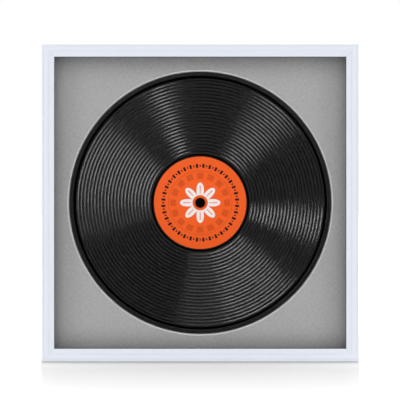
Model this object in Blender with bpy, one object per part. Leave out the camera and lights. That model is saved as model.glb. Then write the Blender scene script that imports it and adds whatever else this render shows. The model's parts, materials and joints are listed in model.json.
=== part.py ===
# Vinyl record frame: a mitred box frame that shows a twelve-inch record on a window mount.
# Metres. +Z is up, the front faces -Y, and the origin lies under the middle of the frame, on its base.

import math

import bmesh
import bpy
from mathutils import Matrix, Vector

# Frame moulding
face_width = 0.0142
lip_overlap = 0.0047
lip_depth = 0.006
mitre_gap = 0.00015
outer_edge_radius = 0.0012
outer_fillet_width = 0.0022
quirk_run = 0.0006
quirk_drop = 0.0005
crown_width = 0.0052
crown_rise = 0.0004
cove_run = 0.0008
cove_drop = 0.0010
inner_band_fall = 0.0006
sight_edge_radius = 0.0010
rear_arris = 0.0004

# Layers inside the rebate, front to back
seat_gap = 0.0003
board_clearance = 0.0005
glazing_thickness = 0.002
spacer_depth = 0.010
spacer_thickness = 0.003
mount_thickness = 0.0014
mount_border = 0.0165
support_thickness = 0.002
packing_thickness = 0.005
back_thickness = 0.003
back_arris = 0.0006

# Record
record_radius = 0.1508
record_thickness = 0.0019
record_edge_radius = 0.0004
rim_bead_width = 0.0042
rim_bead_run = 0.0006
lead_in_width = 0.0031
land_recess = 0.0003
ridge_pitch = 0.003865
ridge_height = 0.00025
ridge_margin = 0.00225
run_out_width = 0.0019
run_out_lead = 0.0013
label_radius = 0.0531
label_thickness = 0.0002
label_gap = 0.0001
spindle_hole_radius = 0.00362
aperture_gap = 0.0005

# Stud that holds the record, and its clip
stud_head_radius = 0.00577
stud_head_thickness = 0.0016
stud_head_edge = 0.0005
stud_fit = 0.0001
stud_tail = 0.0014
clip_cone_width = 0.0007
clip_rim_width = 0.0016
clip_thickness = 0.0006
clip_dish = 0.0006
clip_well_clearance = 0.002

# Corner nails
nail_leg = 0.005
nail_thickness = 0.0005
nail_height = 0.007

# Screws
screw_head_radius = 0.0026
screw_head_height = 0.0016
screw_head_edge = 0.0006
screw_shank_radius = 0.00125
screw_reach = 0.009
screw_tip = 0.002
screw_fit = 0.0001

# Turn buttons
button_length = 0.0185
button_thickness = 0.001
button_tip_radius = 0.0022
button_margin = 0.0007
button_setback = 0.060

# Hangers
hanger_drop = 0.120
ring_wire_radius = 0.00075
ring_drop = 0.009
ring_corner_radius = 0.0010
ring_margin = 0.00025
strap_margin = 0.0005
strap_thickness = 0.0008
strap_side_play = 0.0004
strap_shoulder = 0.0014
strap_taper = 0.0010
strap_screw_gap = 0.0008
curl_turn = 290

# Wall bumpers
bumper_height = 0.005
bumper_margin = 0.0005
bumper_edge = 0.0013
bumper_setback = 0.022

# Fineness of round forms, and the reach of a cut past its face
record_segments = 56
small_segments = 24
screw_segments = 12
edge_steps = 4
crown_steps = 6
curl_steps = 10
rim_steps = 2
bend_steps = 2
wire_resolution = 2
smooth_limit = math.radians(30)
merge_distance = 0.000001
cut_overrun = 0.001

# Places across the face, worked out from the sizes above
half_side = record_radius + mount_border + face_width
board_half = half_side - face_width + lip_overlap
rebate_half = board_half + board_clearance
wall_width = half_side - rebate_half
wall_middle = half_side - wall_width / 2
button_reach = board_half - button_setback
bumper_reach = half_side - bumper_setback

# Depths, worked out from the sizes above
layers = (glazing_thickness, spacer_depth, mount_thickness,
          support_thickness, packing_thickness, back_thickness)
rail_depth = lip_depth + sum(seat_gap + thickness for thickness in layers)
overall_depth = rail_depth + seat_gap + bumper_height
front_y = -overall_depth / 2
rear_y = front_y + rail_depth
glazing_y = front_y + lip_depth + seat_gap
spacer_y = glazing_y + glazing_thickness + seat_gap
mount_y = spacer_y + spacer_depth + seat_gap
support_y = mount_y + mount_thickness + seat_gap
packing_y = support_y + support_thickness + seat_gap
back_y = packing_y + packing_thickness + seat_gap
record_y = support_y - seat_gap - record_thickness
button_y = rear_y + seat_gap
button_screw_y = button_y + button_thickness + seat_gap
strap_screw_y = rear_y + seat_gap + strap_thickness + seat_gap

# Hanger places, worked out from the sizes above
ring_half_width = wall_width / 2 - ring_margin - ring_wire_radius
neck_half_width = ring_half_width - ring_wire_radius - strap_side_play
curl_inner_radius = ring_wire_radius + seat_gap
curl_outer_radius = curl_inner_radius + strap_thickness
ring_axis_y = rear_y + seat_gap + curl_outer_radius
ring_axis_z = half_side - hanger_drop
strap_screw_drop = ring_drop + ring_wire_radius + strap_screw_gap + screw_head_radius
strap_screw_z = ring_axis_z - strap_screw_drop

# How far each side of the frame is turned from the bottom one, in degrees about Y
side_turns = {"bottom": 0, "left": 90, "top": 180, "right": 270}


# Building blocks

def clear_scene():
    """Empty the scene."""
    for old in list(bpy.data.objects):
        bpy.data.objects.remove(old, do_unlink=True)


def finish(name, colour, roughness, metallic=0.0, alpha=1.0):
    """A plain finish with a colour, a roughness and a metallic value."""
    material = bpy.data.materials.new(name)
    material.use_nodes = True
    shader = material.node_tree.nodes["Principled BSDF"]
    shader.inputs["Base Color"].default_value = (*colour, 1.0)
    shader.inputs["Roughness"].default_value = roughness
    shader.inputs["Metallic"].default_value = metallic
    shader.inputs["Alpha"].default_value = alpha
    material.diffuse_color = (*colour, alpha)
    return material


def from_centre(x, y, z, turn=0):
    """A place given from the frame's centre and turned about its Y axis, in the part's own frame."""
    return Matrix.Rotation(math.radians(turn), 4, "Y") @ Vector((x, y, z)) + Vector((0, 0, half_side))


def place(name, bm, material, location, turn=0):
    """A named piece made of a finished mesh, turned about Y and set at its location."""
    bmesh.ops.recalc_face_normals(bm, faces=bm.faces)
    mesh = bpy.data.meshes.new(name)
    bm.to_mesh(mesh)
    bm.free()
    mesh.shade_smooth()
    mesh.set_sharp_from_angle(angle=smooth_limit)
    piece = bpy.data.objects.new(name, mesh)
    piece.data.materials.append(material)
    piece.location = location
    piece.rotation_euler = (0, math.radians(turn), 0)
    bpy.context.scene.collection.objects.link(piece)
    return piece


def cut(piece, bm):
    """Cut a piece with a hidden tool that shares its place."""
    tool = place(piece.name + "_tool", bm, piece.active_material, piece.location)
    tool.rotation_euler = piece.rotation_euler
    tool.hide_render = True
    tool.display_type = "WIRE"
    modifier = piece.modifiers.new("holes", "BOOLEAN")
    modifier.operation = "DIFFERENCE"
    modifier.object = tool


def arc(across, up, radius, start, end, steps):
    """Points of an arc about a centre, between two angles in degrees."""
    angles = [math.radians(start + (end - start) * step / steps) for step in range(steps + 1)]
    return [(across + radius * math.cos(angle), up + radius * math.sin(angle)) for angle in angles]


def circle(radius, segments, up=0):
    """The outline of a round hole."""
    return arc(0, up, radius, 0, 360, segments)[:-1]


def rectangle(left, right, low, high):
    """The outline of a rectangle."""
    return [(left, low), (right, low), (right, high), (left, high)]


def add_plate(bm, outline, near, far, holes=()):
    """Add a plate: an outline in X and Z with holes in it, between two depths."""
    edges = []
    for loop in (outline, *holes):
        corners = [bm.verts.new((x, near, z)) for x, z in loop]
        edges += [bm.edges.new((a, b)) for a, b in zip(corners, corners[1:] + corners[:1])]
    filled = bmesh.ops.triangle_fill(bm, use_beauty=True, edges=edges)["geom"]
    faces = [item for item in filled if isinstance(item, bmesh.types.BMFace)]
    raised = bmesh.ops.extrude_face_region(bm, geom=faces)["geom"]
    corners = [item for item in raised if isinstance(item, bmesh.types.BMVert)]
    bmesh.ops.translate(bm, verts=corners, vec=(0, far - near, 0))


def plate(outline, depth, holes=()):
    """A plate whose front lies at zero depth."""
    bm = bmesh.new()
    add_plate(bm, outline, 0, depth, holes)
    return bm


def add_turned(bm, profile, segments, across=0, up=0):
    """Add a form of revolution about Y: a closed profile of radius and depth, set at a place in X and Z."""
    rings = []
    for step in range(segments):
        angle = 2 * math.pi * step / segments
        rings.append([bm.verts.new((across + radius * math.cos(angle), depth, up + radius * math.sin(angle)))
                      for radius, depth in profile])
    for near, far in zip(rings, rings[1:] + rings[:1]):
        for start, end in zip(range(len(profile)), list(range(1, len(profile))) + [0]):
            if profile[start][0] > 0 or profile[end][0] > 0:
                bm.faces.new((near[start], near[end], far[end], far[start]))
    bmesh.ops.remove_doubles(bm, verts=bm.verts, dist=merge_distance)


def turned(profile, segments):
    """A form of revolution about Y."""
    bm = bmesh.new()
    add_turned(bm, profile, segments)
    return bm


# Frame moulding

def rail_section():
    """A rail's section: distance in from the outer face, then depth behind the front."""
    crown_start = outer_fillet_width + quirk_run
    cove_start = crown_start + crown_width
    cove_depth = quirk_drop + cove_drop
    sight_depth = cove_depth + inner_band_fall + sight_edge_radius
    points = arc(outer_edge_radius, outer_edge_radius, outer_edge_radius, 180, 270, edge_steps)
    points.append((outer_fillet_width, 0))
    for step in range(crown_steps + 1):
        share = step / crown_steps
        rise = crown_rise * (1 - (2 * share - 1) ** 2)
        points.append((crown_start + crown_width * share, quirk_drop - rise))
    points.append((cove_start + cove_run, cove_depth))
    points += arc(face_width - sight_edge_radius, sight_depth, sight_edge_radius, 270, 360, edge_steps)
    points += [(face_width, lip_depth), (wall_width, lip_depth)]
    points += [(wall_width, rail_depth - rear_arris), (wall_width - rear_arris, rail_depth)]
    points += [(rear_arris, rail_depth), (0, rail_depth - rear_arris)]
    return points


def rail_screw_places(side):
    """Where screws enter a rail, along its length from its middle."""
    places = [-button_reach, button_reach]
    if side == "left":
        places.append(-strap_screw_z)
    if side == "right":
        places.append(strap_screw_z)
    return places


def nail_outline(corner, spare):
    """The L outline of a corner nail at the left or the right end of a rail, with spare all round."""
    middle = half_side - wall_width / 2
    near = middle + nail_thickness / 2 + spare
    far = middle - nail_thickness / 2 - spare
    tip = middle - nail_leg - spare
    points = [(near, near), (tip, near), (tip, far), (far, far), (far, tip), (near, tip)]
    return [(corner * x, -z) for x, z in points]


def rail_tool(side):
    """Pilot holes for a rail's screws, and the slots of its corner nails, open to the rear."""
    bm = bmesh.new()
    rear = rail_depth + cut_overrun
    hole_radius = screw_shank_radius + screw_fit
    hole_bottom = button_screw_y - front_y - screw_reach - seat_gap
    hole = [(0, hole_bottom), (hole_radius, hole_bottom), (hole_radius, rear), (0, rear)]
    for along in rail_screw_places(side):
        add_turned(bm, hole, screw_segments, along, -wall_middle)
    slot_bottom = rail_depth - nail_height - 2 * seat_gap
    for corner in (-1, 1):
        add_plate(bm, nail_outline(corner, seat_gap), slot_bottom, rear)
    return bm


def build_rail(side, paint):
    """One mitred rail, drilled and slotted at the rear."""
    section = rail_section()
    bm = bmesh.new()
    ends = []
    for direction in (-1, 1):
        reach = half_side - mitre_gap / 2
        ends.append([bm.verts.new((direction * (reach - inward), depth, inward - half_side))
                     for inward, depth in section])
        bm.faces.new(ends[-1])
    for start, end in zip(range(len(section)), list(range(1, len(section))) + [0]):
        bm.faces.new((ends[0][start], ends[0][end], ends[1][end], ends[1][start]))
    rail = place("rail_" + side, bm, paint, from_centre(0, front_y, 0), side_turns[side])
    cut(rail, rail_tool(side))


def build_corner_nails(steel):
    """A V nail across each mitre, driven in from the rear."""
    corners = ("bottom_left", "top_left", "top_right", "bottom_right")
    for corner, turn in zip(corners, side_turns.values()):
        bm = plate(nail_outline(-1, 0), nail_height)
        depth = rear_y - seat_gap - nail_height
        place("corner_nail_" + corner, bm, steel, from_centre(0, depth, 0), turn)


# Layers inside the rebate

def build_glazing(clear):
    """The clear sheet behind the lip."""
    bm = plate(rectangle(-board_half, board_half, -board_half, board_half), glazing_thickness)
    place("glazing", bm, clear, from_centre(0, glazing_y, 0))


def build_spacers(card):
    """Strips on the rebate's four walls that hold the glazing off the mount."""
    outer = rebate_half - seat_gap
    inner = outer - spacer_thickness
    for side, turn in side_turns.items():
        reach = outer if side in ("bottom", "top") else inner - seat_gap
        bm = plate(rectangle(-reach, reach, -outer, -inner), spacer_depth)
        place("spacer_" + side, bm, card, from_centre(0, spacer_y, 0), turn)


def build_window_mount(board):
    """The mount, with its round window cut at 45 degrees so that the core shows."""
    window_radius = record_radius + aperture_gap
    flare = (window_radius + mount_thickness) / window_radius
    outline = rectangle(-board_half, board_half, -board_half, board_half)
    bm = plate(outline, mount_thickness, [circle(window_radius, record_segments)])
    for corner in bm.verts:
        if corner.co.y == 0 and corner.co.length < board_half:
            corner.co *= flare
    place("window_mount", bm, board, from_centre(0, mount_y, 0))


def build_support_board(board):
    """The board that the record lies on, bored for its stud."""
    outline = rectangle(-board_half, board_half, -board_half, board_half)
    bm = plate(outline, support_thickness, [circle(spindle_hole_radius, small_segments)])
    place("support_board", bm, board, from_centre(0, support_y, 0))


def build_packing_board(card):
    """The packing that fills the rebate, with a well for the stud's clip."""
    outline = rectangle(-board_half, board_half, -board_half, board_half)
    well_radius = spindle_hole_radius + clip_cone_width + clip_rim_width + clip_well_clearance
    bm = plate(outline, packing_thickness, [circle(well_radius, small_segments)])
    place("packing_board", bm, card, from_centre(0, packing_y, 0))


def build_back_board(fibreboard):
    """The back board, flush with the rails, with its rear edges eased."""
    bm = plate(rectangle(-board_half, board_half, -board_half, board_half), back_thickness)
    rear = [edge for edge in bm.edges
            if len(edge.link_faces) == 2 and edge.calc_face_angle() > smooth_limit
            and all(corner.co.y > 0 for corner in edge.verts)]
    bmesh.ops.bevel(bm, geom=rear, offset=back_arris, segments=1, affect="EDGES")
    place("back_board", bm, fibreboard, from_centre(0, back_y, 0))


# Record

def record_section():
    """The record's section: radius, then depth behind its front, from the hole out and back again."""
    well_depth = label_thickness + label_gap
    well_radius = label_radius + label_gap
    run_out_start = well_radius + run_out_lead
    run_out_end = run_out_start + run_out_width
    bead_start = record_radius - rim_bead_width
    lead_in_end = bead_start - rim_bead_run
    lead_in_start = lead_in_end - lead_in_width
    first_ridge = lead_in_start - ridge_margin
    ridges = int((first_ridge - ridge_margin - run_out_end) / ridge_pitch) + 1
    points = [(spindle_hole_radius, well_depth), (well_radius, well_depth), (well_radius, 0)]
    points += [(run_out_start, 0), (run_out_end, land_recess)]
    for ridge in reversed(range(ridges)):
        crest = first_ridge - ridge * ridge_pitch
        points.append((crest - ridge_pitch / 2, land_recess))
        points.append((crest, land_recess - ridge_height))
    points += [(lead_in_start, land_recess), (lead_in_end, land_recess), (bead_start, 0)]
    edge_middle = record_radius - record_edge_radius
    points += arc(edge_middle, record_edge_radius, record_edge_radius, 270, 360, rim_steps)
    points += arc(edge_middle, record_thickness - record_edge_radius, record_edge_radius, 0, 90, rim_steps)
    points += [(well_radius, record_thickness), (well_radius, record_thickness - well_depth)]
    points.append((spindle_hole_radius, record_thickness - well_depth))
    return points


def build_record(vinyl, paper):
    """The record and the label on each of its sides, about the stud's axis."""
    place("record", turned(record_section(), record_segments), vinyl, from_centre(0, record_y, 0))
    label = [(spindle_hole_radius, 0), (label_radius, 0),
             (label_radius, label_thickness), (spindle_hole_radius, label_thickness)]
    rear_label_y = record_y + record_thickness - label_thickness
    for name, depth in (("label_front", record_y), ("label_back", rear_label_y)):
        place(name, turned(label, record_segments), paper, from_centre(0, depth, 0))


def build_stud(plastic):
    """The round-headed stud that carries the record on the support board."""
    shank_radius = spindle_hole_radius - stud_fit
    head_depth = record_y - seat_gap - stud_head_thickness
    shank_end = packing_y + clip_dish + clip_thickness + stud_tail - head_depth
    edge_middle = stud_head_radius - stud_head_edge
    points = [(0, 0)] + arc(edge_middle, stud_head_edge, stud_head_edge, 270, 360, edge_steps)
    points += [(stud_head_radius, stud_head_thickness), (shank_radius, stud_head_thickness)]
    points += [(shank_radius, shank_end - stud_head_edge), (shank_radius - stud_head_edge, shank_end)]
    points.append((0, shank_end))
    place("centre_stud", turned(points, small_segments), plastic, from_centre(0, head_depth, 0))


def build_stud_clip(steel):
    """The dished push-on washer that grips the stud behind the support board."""
    cone_radius = spindle_hole_radius + clip_cone_width
    rim_radius = cone_radius + clip_rim_width
    points = [(spindle_hole_radius, clip_dish), (cone_radius, 0), (rim_radius, 0)]
    points += [(rim_radius, clip_thickness), (cone_radius, clip_thickness)]
    points.append((spindle_hole_radius, clip_dish + clip_thickness))
    place("stud_clip", turned(points, small_segments), steel, from_centre(0, packing_y, 0))


# Rear hardware

def screw():
    """A pan-headed screw, its head to the rear of the depth that it clamps."""
    crown = screw_head_height - screw_head_edge
    points = [(0, -screw_reach), (screw_shank_radius, screw_tip - screw_reach), (screw_shank_radius, 0)]
    points.append((screw_head_radius, 0))
    points += arc(screw_head_radius - screw_head_edge, crown, screw_head_edge, 0, 90, edge_steps)
    points.append((0, screw_head_height))
    return turned(points, screw_segments)


def button_outline():
    """A turn button's outline: a round root on its pivot, tapered to a smaller round tip."""
    root_radius = wall_width / 2 - button_margin
    lean = math.degrees(math.asin((root_radius - button_tip_radius) / button_length))
    tip = arc(0, button_length, button_tip_radius, lean, 180 - lean, 2 * edge_steps)
    root = arc(0, 0, root_radius, 180 - lean, 360 + lean, 3 * edge_steps)
    return tip + root


def build_turn_buttons(steel):
    """Two turn buttons and their screws on each side, pointing in over the back board."""
    hole = circle(screw_shank_radius + screw_fit, screw_segments)
    for side, turn in side_turns.items():
        for number, along in ((1, -button_reach), (2, button_reach)):
            name = side + "_" + str(number)
            bm = plate(button_outline(), button_thickness, [hole])
            pivot = from_centre(along, button_y, -wall_middle, turn)
            place("turn_button_" + name, bm, steel, pivot, turn)
            seat = from_centre(along, button_screw_y, -wall_middle, turn)
            place("button_screw_" + name, screw(), steel, seat, turn)


def ring_route():
    """The middle of a D ring's wire: a straight bar on its axis, two legs and a round bow below."""
    bow_z = ring_half_width - ring_drop
    corner_x = ring_half_width - ring_corner_radius
    route = arc(corner_x, -ring_corner_radius, ring_corner_radius, 90, 0, bend_steps)
    route += arc(0, bow_z, ring_half_width, 0, -180, 3 * edge_steps)
    route += arc(-corner_x, -ring_corner_radius, ring_corner_radius, 180, 90, bend_steps)
    return route


def build_ring(name, steel, location):
    """A D ring of round wire, hanging from its bar."""
    curve = bpy.data.curves.new(name, "CURVE")
    curve.dimensions = "3D"
    curve.bevel_depth = ring_wire_radius
    curve.bevel_resolution = wire_resolution
    curve.materials.append(steel)
    spline = curve.splines.new("POLY")
    route = ring_route()
    spline.points.add(len(route) - 1)
    for point, (x, z) in zip(spline.points, route):
        point.co = (x, 0, z, 1)
    spline.use_cyclic_u = True
    ring = bpy.data.objects.new(name, curve)
    ring.location = location
    bpy.context.scene.collection.objects.link(ring)


def strap():
    """A hanger strap about its ring's axis: a plate with a neck that curls round the ring's bar."""
    half_width = wall_width / 2 - strap_margin
    shoulder = -strap_shoulder - strap_taper
    outline = [(neck_half_width, 0), (-neck_half_width, 0), (-neck_half_width, -strap_shoulder)]
    outline.append((-half_width, shoulder))
    outline += arc(0, -strap_screw_drop, half_width, 180, 360, 2 * edge_steps)
    outline += [(half_width, shoulder), (neck_half_width, -strap_shoulder)]
    hole = circle(screw_shank_radius + screw_fit, screw_segments, -strap_screw_drop)
    bm = bmesh.new()
    add_plate(bm, outline, -curl_outer_radius, -curl_inner_radius, [hole])
    end = [face for face in bm.faces if all(corner.co.z == 0 for corner in face.verts)]
    for _ in range(curl_steps):
        raised = bmesh.ops.extrude_face_region(bm, geom=end)["geom"]
        bmesh.ops.delete(bm, geom=end, context="FACES_ONLY")
        corners = [item for item in raised if isinstance(item, bmesh.types.BMVert)]
        end = [item for item in raised if isinstance(item, bmesh.types.BMFace)]
        step = Matrix.Rotation(math.radians(-curl_turn / curl_steps), 3, "X")
        bmesh.ops.rotate(bm, verts=corners, cent=(0, 0, 0), matrix=step)
    return bm


def build_hangers(steel):
    """A strap, its ring and its screw on each side rail."""
    for side, direction in (("left", -1), ("right", 1)):
        across = direction * wall_middle
        place("hanger_strap_" + side, strap(), steel, from_centre(across, ring_axis_y, ring_axis_z))
        build_ring("hanger_ring_" + side, steel, from_centre(across, ring_axis_y, ring_axis_z))
        seat = from_centre(across, strap_screw_y, strap_screw_z)
        place("hanger_screw_" + side, screw(), steel, seat, side_turns[side])


def build_bumpers(rubber):
    """A bumper near each lower corner that keeps the frame off the wall."""
    radius = wall_width / 2 - bumper_margin
    crown = bumper_height - bumper_edge
    points = [(0, 0), (radius, 0)] + arc(radius - bumper_edge, crown, bumper_edge, 0, 90, edge_steps)
    points.append((0, bumper_height))
    for side, direction in (("left", -1), ("right", 1)):
        seat = from_centre(direction * bumper_reach, rear_y + seat_gap, -wall_middle)
        place("wall_bumper_" + side, turned(points, small_segments), rubber, seat)


def build():
    """Build every piece of the frame."""
    clear_scene()
    steel = finish("zinc plated steel", (0.62, 0.63, 0.64), 0.35, metallic=1.0)
    paint = finish("white satin paint", (0.78, 0.81, 0.88), 0.4)
    for side in side_turns:
        build_rail(side, paint)
    build_corner_nails(steel)
    build_glazing(finish("clear acrylic", (0.95, 0.96, 0.97), 0.05, alpha=0.15))
    build_spacers(finish("charcoal card", (0.05, 0.05, 0.055), 0.9))
    build_window_mount(finish("grey linen board", (0.34, 0.34, 0.34), 0.95))
    build_support_board(finish("white mount board", (0.75, 0.75, 0.73), 0.9))
    build_packing_board(finish("corrugated card", (0.42, 0.29, 0.17), 0.9))
    build_back_board(finish("brown fibreboard", (0.36, 0.23, 0.13), 0.7))
    build_record(finish("black vinyl", (0.012, 0.012, 0.012), 0.25),
                 finish("orange label paper", (0.83, 0.11, 0.02), 0.7))
    build_stud(finish("black plastic", (0.006, 0.006, 0.006), 0.4))
    build_stud_clip(steel)
    build_turn_buttons(steel)
    build_hangers(steel)
    build_bumpers(finish("clear grey rubber", (0.25, 0.25, 0.26), 0.6))


build()
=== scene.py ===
# Vinyl record frame: the looks of its painted moulding, mount, record, label and rear fittings.
# Metres. +Z is up and the front faces -Y.

import json
import math

import bmesh
import bpy
from mathutils import Matrix, Vector


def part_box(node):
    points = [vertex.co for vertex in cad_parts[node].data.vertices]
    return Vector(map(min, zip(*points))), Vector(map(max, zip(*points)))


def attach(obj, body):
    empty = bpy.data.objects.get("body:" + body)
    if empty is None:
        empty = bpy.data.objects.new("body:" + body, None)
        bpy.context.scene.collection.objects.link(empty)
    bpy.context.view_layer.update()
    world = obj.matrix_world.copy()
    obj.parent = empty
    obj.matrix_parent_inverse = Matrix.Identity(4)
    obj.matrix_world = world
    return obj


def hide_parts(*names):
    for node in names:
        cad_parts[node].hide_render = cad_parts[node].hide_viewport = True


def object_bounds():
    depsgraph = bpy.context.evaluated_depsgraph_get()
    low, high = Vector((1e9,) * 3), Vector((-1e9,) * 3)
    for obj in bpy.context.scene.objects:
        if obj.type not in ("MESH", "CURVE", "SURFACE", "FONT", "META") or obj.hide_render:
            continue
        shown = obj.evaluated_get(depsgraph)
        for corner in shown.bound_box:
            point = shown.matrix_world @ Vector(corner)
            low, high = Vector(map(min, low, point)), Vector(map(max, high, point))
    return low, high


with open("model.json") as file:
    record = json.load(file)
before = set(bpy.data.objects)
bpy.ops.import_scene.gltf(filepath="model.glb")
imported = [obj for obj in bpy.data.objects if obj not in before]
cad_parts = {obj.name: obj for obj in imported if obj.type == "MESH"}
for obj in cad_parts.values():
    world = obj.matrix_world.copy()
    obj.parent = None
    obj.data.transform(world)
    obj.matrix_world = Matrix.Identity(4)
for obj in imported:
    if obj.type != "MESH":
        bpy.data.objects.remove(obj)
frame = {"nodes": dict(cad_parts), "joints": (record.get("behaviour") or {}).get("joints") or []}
nodes = frame["nodes"]
cad_low, cad_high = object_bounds()
joints = {joint["name"]: joint for joint in frame["joints"]}

# Sizes of the frame, as in the part
half_side = cad_high.x
front_y = cad_low.y
rear_y = cad_high.y
face_width = 0.0142
wall_width = 0.009
lip_depth = 0.006
rail_depth = 0.0312
mitre_gap = 0.00015
sight_edge_radius = 0.0010
rear_arris = 0.0004
seat_gap = 0.0003
nail_leg = 0.005
nail_thickness = 0.0005
nail_height = 0.007
sight_half = half_side - face_width

# Lines of the moulding's face, finer and shallower than in the part
outer_edge_radius = 0.0009
outer_fillet_width = 0.0017
crown_width = 0.0057
crown_rise = 0.00025
crown_depth = 0.0004
band_depth = 0.0007
step_run = 0.00005
groove_width = 0.0003
groove_depth = 0.0002
inner_band_fall = 0.0004

# Sizes of the mount, the record and its stud, as in the part
board_half = 0.172
mount_thickness = 0.0014
window_radius = 0.1513
record_radius = 0.1508
record_thickness = 0.0019
record_edge_radius = 0.0004
bead_start = 0.1466
lead_in_end = 0.1460
lead_in_start = 0.1429
land_recess = 0.0003
ridge_pitch = 0.003865
first_ridge = 0.14065
ridge_count = 22
run_out_end = 0.0564
run_out_start = 0.0545
label_radius = 0.0531
label_thickness = 0.0002
well_radius = 0.0532
spindle_hole_radius = 0.00362
stud_head_radius = 0.00577
stud_head_thickness = 0.0016
stud_edge = 0.0005
fit_play = 0.0001

# Relief that only the scene has: each ring line is three teeth, and close steep grooves hold no
# light. The stud's crown is given by radius and share of its fall.
teeth = 3
inward_run = 0.00020
inward_slope = 30
outward_run = 0.00034
outward_slope = 18
line_width = teeth * (inward_run + outward_run)
dark_groove_pitch = 0.00038
dark_groove_depth = 0.0005
label_edge = 0.00005
stud_crown = 0.00018
stud_crown_line = ((0, 0), (0.0018, 0.12), (0.0036, 0.5))

# A black strip on the glazing's rim, which only the scene has: painted shade beside the lip
shade_strip_inset = 0.0005
shade_strip_show = 0.0005
shade_strip_thickness = 0.00022
shade_strip_gap = 0.00002

# Sizes of the rear fittings, as in the part
screw_head_radius = 0.0026
screw_head_height = 0.0016
screw_shank_radius = 0.00125
button_length = 0.0185
button_thickness = 0.001
button_root_radius = 0.0038
button_tip_radius = 0.0022
ring_wire_radius = 0.00075
ring_half_width = 0.0035
ring_corner_radius = 0.0010
ring_drop = 0.009
strap_half_width = 0.004
neck_half_width = 0.00235
strap_thickness = 0.0008
strap_shoulder = 0.0014
strap_taper = 0.0010
strap_screw_drop = 0.01315
curl_turn = 290
bumper_radius = 0.004
bumper_height = 0.005
bumper_edge = 0.0013

# Their finer forms, which only the scene has. Each ring of a button's dimple has its share of the
# dimple's width, and how far it is sunk.
screw_dome_radius = 0.0009
screw_dome_turn = 80
screw_stub = 0.0020
recess_reach = 0.0016
recess_foot_share = 0.45
recess_width = 0.0007
recess_depth = 0.0012
button_edge = 0.0002
dimple_middle = 0.0112
dimple_half_length = 0.0048
dimple_half_width = 0.0011
dimple_depth = 0.00025
dimple_taper = 0.3
dimple_rings = ((1.0, -0.4), (0.86, 0.0), (0.62, 0.6), (0.3, 1.0))
strap_edge = 0.00015
bumper_well_radius = 0.0016
bumper_well_depth = 0.0003

# The label's print
petal_count = 8
bar_count = 16
tick_count = 36
heart_radius = 0.0088
petal_valley = 0.0095
petal_reach = 0.0232
vein_radii = (0.0105, 0.0195)
bar_radii = (0.0275, 0.0345)
hoop_radii = (0.0362, 0.0369)
long_tick_radii = (0.0402, 0.0448)
short_tick_radii = (0.0414, 0.0436)
press_mark_radii = (0.0503, 0.0509)
print_edge = 0.0002
press_mark_edge = 0.0003
spoke_edge = 0.02

# Patterns of the finishes
thread_pitch = 0.00085
flute_pitch = 0.0065
paint_ragged = 0.0016
paint_fade = 0.0003
line_fade = 0.0001
core_edge = 0.00002

# Painted shade on the linen toward the lip, at the sides and at top and bottom: how wide it is,
# and how light the linen is at the lip
side_painted_shade = (0.014, 0.93)
end_painted_shade = (0.028, 0.82)

# Fineness
record_segments = 300
round_segments = 96
window_segments = 360
screw_segments = 32
bumper_segments = 48
hole_segments = 24
edge_steps = 10
record_edge_steps = 6
corner_steps = 8
end_steps = 24
bow_steps = 40
crown_steps = 20
curl_steps = 30
wire_resolution = 6
floor_segments = 64
smooth_angle = 30
bend_angle = 60
core_radius = 0.001
weld = 0.000002
screw_seed = 7

centre = Vector((0, 0, half_side))
side_turns = {"bottom": 0, "left": 90, "top": 180, "right": 270}

# The photograph's frame
photo_pixels = 400
frame_pixels = 317.1
pixel_size = 2 * half_side / frame_pixels
centre_pixel = (200.2, 202.75)
lens = 300
sensor = 36

# Floor and air: levels are shares of white
ahead_level = 0.12
ahead_cone = (-0.97, -0.90)
flank_level = 0.02
flank_cone = (-0.40, -0.10)
soft_level = 0.87
bounce_level = 0.05
near_bounce = 0.18
near_bounce_reach = 0.35
floor_radius = 40
floor_white = 0.93
floor_grey = 0.80
floor_dark = 0.06
floor_sheen = 0.10
floor_gloss = 0.3
least_glow = 0.05
glow_gain = 0.9
floor_fade = (0.6, 1.6)
contact_shade = 0.5
contact_reach = (0.008, 0.075)
spread_shade = 0.085
spread_rise = (0.08, 0.22)
spread_fall = (0.35, 0.7)
shade_edge = 0.002
beside_growth = 0.03
beside_start = 0.004
beside_fade = 0.3
beside_share = 0.9

# Lamps before the front: the angle round the stud, the angle off its axis and the half spread in
# degrees, then a soft lamp's distance, or a gleam lamp's share of full strength
side_distance = 1.2
top_distance = 4.0
soft_radiance = 3.5
gleam_distance = 3.8
gleam_radiance = 6.0
half_depth = 8.0
soft_lamps = {
    "soft_left": (173, 65, 26, side_distance),
    "soft_right": (7, 65, 28, side_distance),
    "soft_top": (90, 66, 8, top_distance),
}
gleam_lamps = {
    "gleam_upper_right": (50, 2 * outward_slope, 13, 0.56),
    "gleam_top": (110.5, 2 * outward_slope, 4.5, 1.15),
    "gleam_left": (161, 2 * outward_slope, 23, 0.62),
    "gleam_high": (121, 2 * inward_slope, 20.5, 0.92),
    "gleam_high_right": (92, 2 * inward_slope, 14, 0.26),
    "gleam_far_left": (169.5, 2 * inward_slope, 7.5, 1.2),
    "gleam_far_right": (9, 2 * inward_slope, 8, 0.28),
}

# Lamps behind: direction, distance, width, depth and radiance
rear_lamps = {
    "rear_left": ((-0.6, 1.0, 0.8), 2.6, 1.2, 1.2, 1.0),
    "rear_right": ((0.6, 1.0, 0.8), 2.6, 1.2, 1.2, 1.0),
    "rear_high": ((0, 1.0, 0.9), 8.0, 0.6, 8.0, 8.0),
}


# The camera, at the photograph's place

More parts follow.
